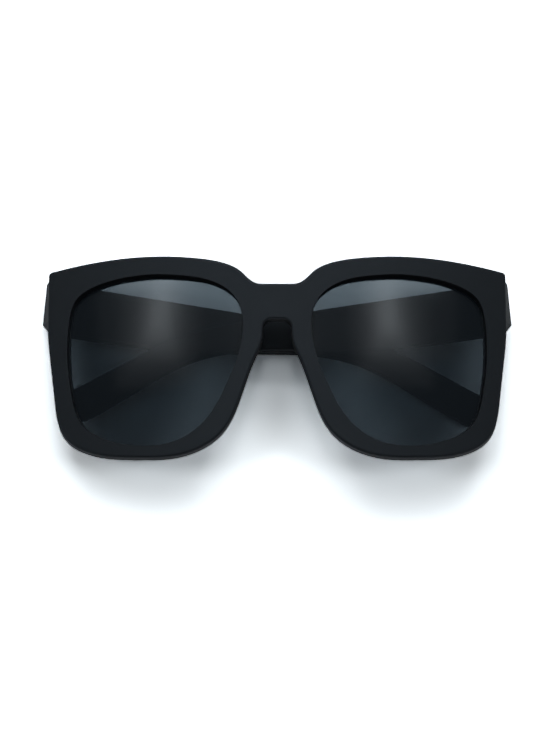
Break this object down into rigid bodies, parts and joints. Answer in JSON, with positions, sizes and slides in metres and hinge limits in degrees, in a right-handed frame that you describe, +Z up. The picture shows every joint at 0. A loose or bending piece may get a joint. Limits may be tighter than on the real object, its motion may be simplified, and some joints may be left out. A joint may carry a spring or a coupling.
{
  "type": "sunglasses",
  "caption": "Oversized square sunglasses with a bowed matte black front, smoke lenses and wide arms that fold on pin hinges.",
  "frame": {"origin": "on the table, under the middle of the folded glasses' box", "axes": "+X to the wearer's left, +Y from the nose gap to the brow, +Z up and out of the front's face"},
  "size_m": [0.153, 0.0666, 0.0279],
  "materials": {
    "frame": "matte black",
    "lens": "polished smoke grey",
    "hinge": "satin"
  },
  "bodies": {
    "front": {"front_frame": "frame", "left_lens": "lens", "left_front_hinge_leaf": "hinge", "left_front_leaf_screws": "hinge", "left_hinge_screw": "hinge", "right_lens": "lens", "right_front_hinge_leaf": "hinge", "right_front_leaf_screws": "hinge", "right_hinge_screw": "hinge"},
    "left_arm": {"left_temple": "frame", "left_temple_hinge_leaf": "hinge", "left_temple_leaf_screws": "hinge"},
    "right_arm": {"right_temple": "frame", "right_temple_hinge_leaf": "hinge", "right_temple_leaf_screws": "hinge"}
  },
  "joints": [
    {"name": "left_hinge", "type": "hinge", "parent": "front", "child": "left_arm", "pos_m": [0.07066, 0.01966, 0.01023], "axis": [0, -1, 0], "range_deg": [0, 91.6]},
    {"name": "right_hinge", "type": "hinge", "parent": "front", "child": "right_arm", "pos_m": [-0.07066, 0.01966, 0.0053], "axis": [0, 1, 0], "range_deg": [0, 88]}
  ]
}
